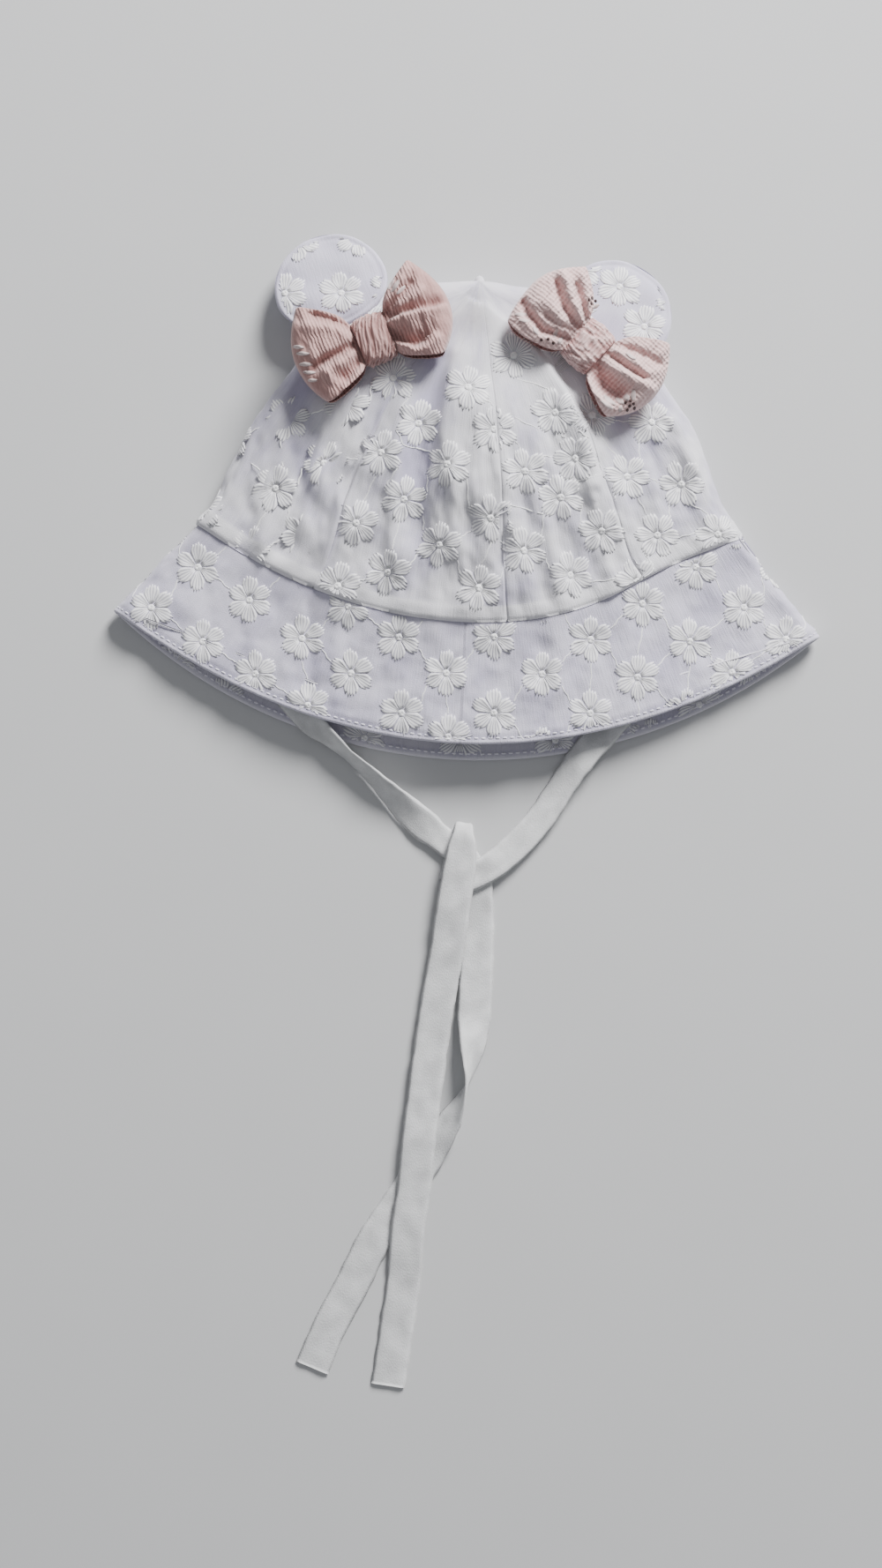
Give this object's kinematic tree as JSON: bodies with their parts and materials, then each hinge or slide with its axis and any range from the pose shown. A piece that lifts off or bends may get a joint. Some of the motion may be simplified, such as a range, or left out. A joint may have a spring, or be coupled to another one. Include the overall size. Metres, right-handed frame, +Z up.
{
  "type": "baby sun bonnet",
  "caption": "Soft cotton baby sun bonnet lying flat, with a gored crown, flared brim, round bear ears, crepe bows and flat chin ties in a half knot.",
  "frame": {"origin": "middle of the bonnet's outline without its ties, on the surface that it lies on", "axes": "+X across the bonnet from its left to its right as seen from above, +Y towards the top of the crown, +Z up from the surface"},
  "size_m": [0.2796, 0.4546, 0.0358],
  "materials": {
    "crown_cotton": "fine white cotton with a lilac cast and satin stitch flowers",
    "brim_cotton": "the same cotton, doubled and topstitched",
    "facing_cotton": "fine cotton on the inside of the brim",
    "ear_cotton": "fine embroidered cotton, lightly padded",
    "left_crepe": "dusty pink crinkled crepe",
    "right_crepe": "light dusty pink crinkled crepe with eyelets",
    "tie_cotton": "plain white cotton strap"
  },
  "bodies": {
    "root": {"crown_panel_front_left": "crown_cotton", "crown_panel_front_right": "crown_cotton", "crown_panel_side_right": "crown_cotton", "crown_panel_back_right": "crown_cotton", "crown_panel_back_left": "crown_cotton", "crown_panel_side_left": "crown_cotton", "brim_outer": "brim_cotton", "brim_facing": "facing_cotton", "ear_left": "ear_cotton", "ear_right": "ear_cotton", "bow_left": "left_crepe", "bow_left_knot": "left_crepe", "bow_right": "right_crepe", "bow_right_knot": "right_crepe", "tie_left": "tie_cotton", "tie_right": "tie_cotton"}
  },
  "joints": []
}
